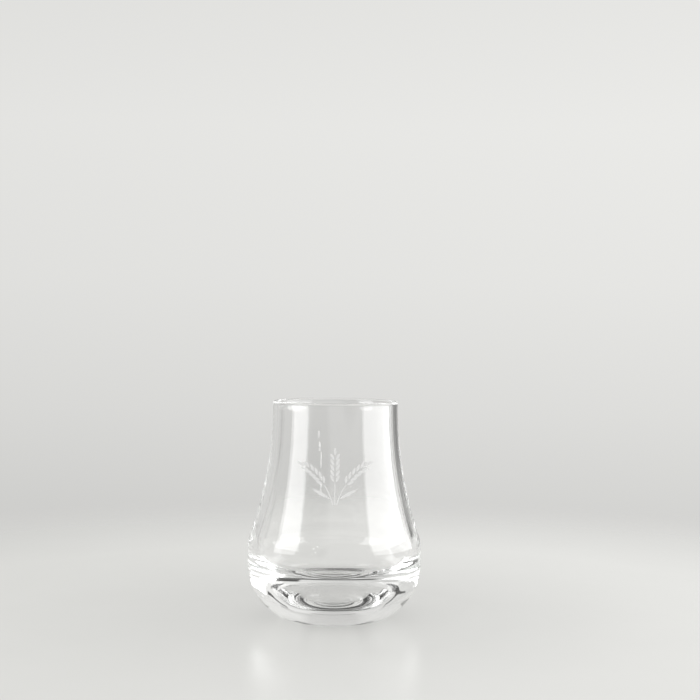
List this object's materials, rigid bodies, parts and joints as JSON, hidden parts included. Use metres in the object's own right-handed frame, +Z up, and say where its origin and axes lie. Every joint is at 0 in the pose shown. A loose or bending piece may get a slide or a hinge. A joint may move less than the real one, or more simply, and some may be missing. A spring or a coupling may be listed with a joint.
{
  "type": "whisky nosing glass",
  "caption": "Stemless clear nosing glass with a heavy rounded base, a full belly, a wall that sweeps in to a narrow upright mouth, and a thin white barley print on the front.",
  "frame": {"origin": "on the table under the middle of the foot ring", "axes": "+Z up along the glass's axis, -Y towards the front, where the print is"},
  "size_m": [0.0724, 0.0724, 0.09],
  "materials": {
    "clear_glass": "clear, fire-polished, colourless",
    "white_frit": "fired white print, fine and matt"
  },
  "bodies": {
    "root": {"glass_body": "clear_glass", "barley_print": "white_frit"}
  },
  "joints": []
}
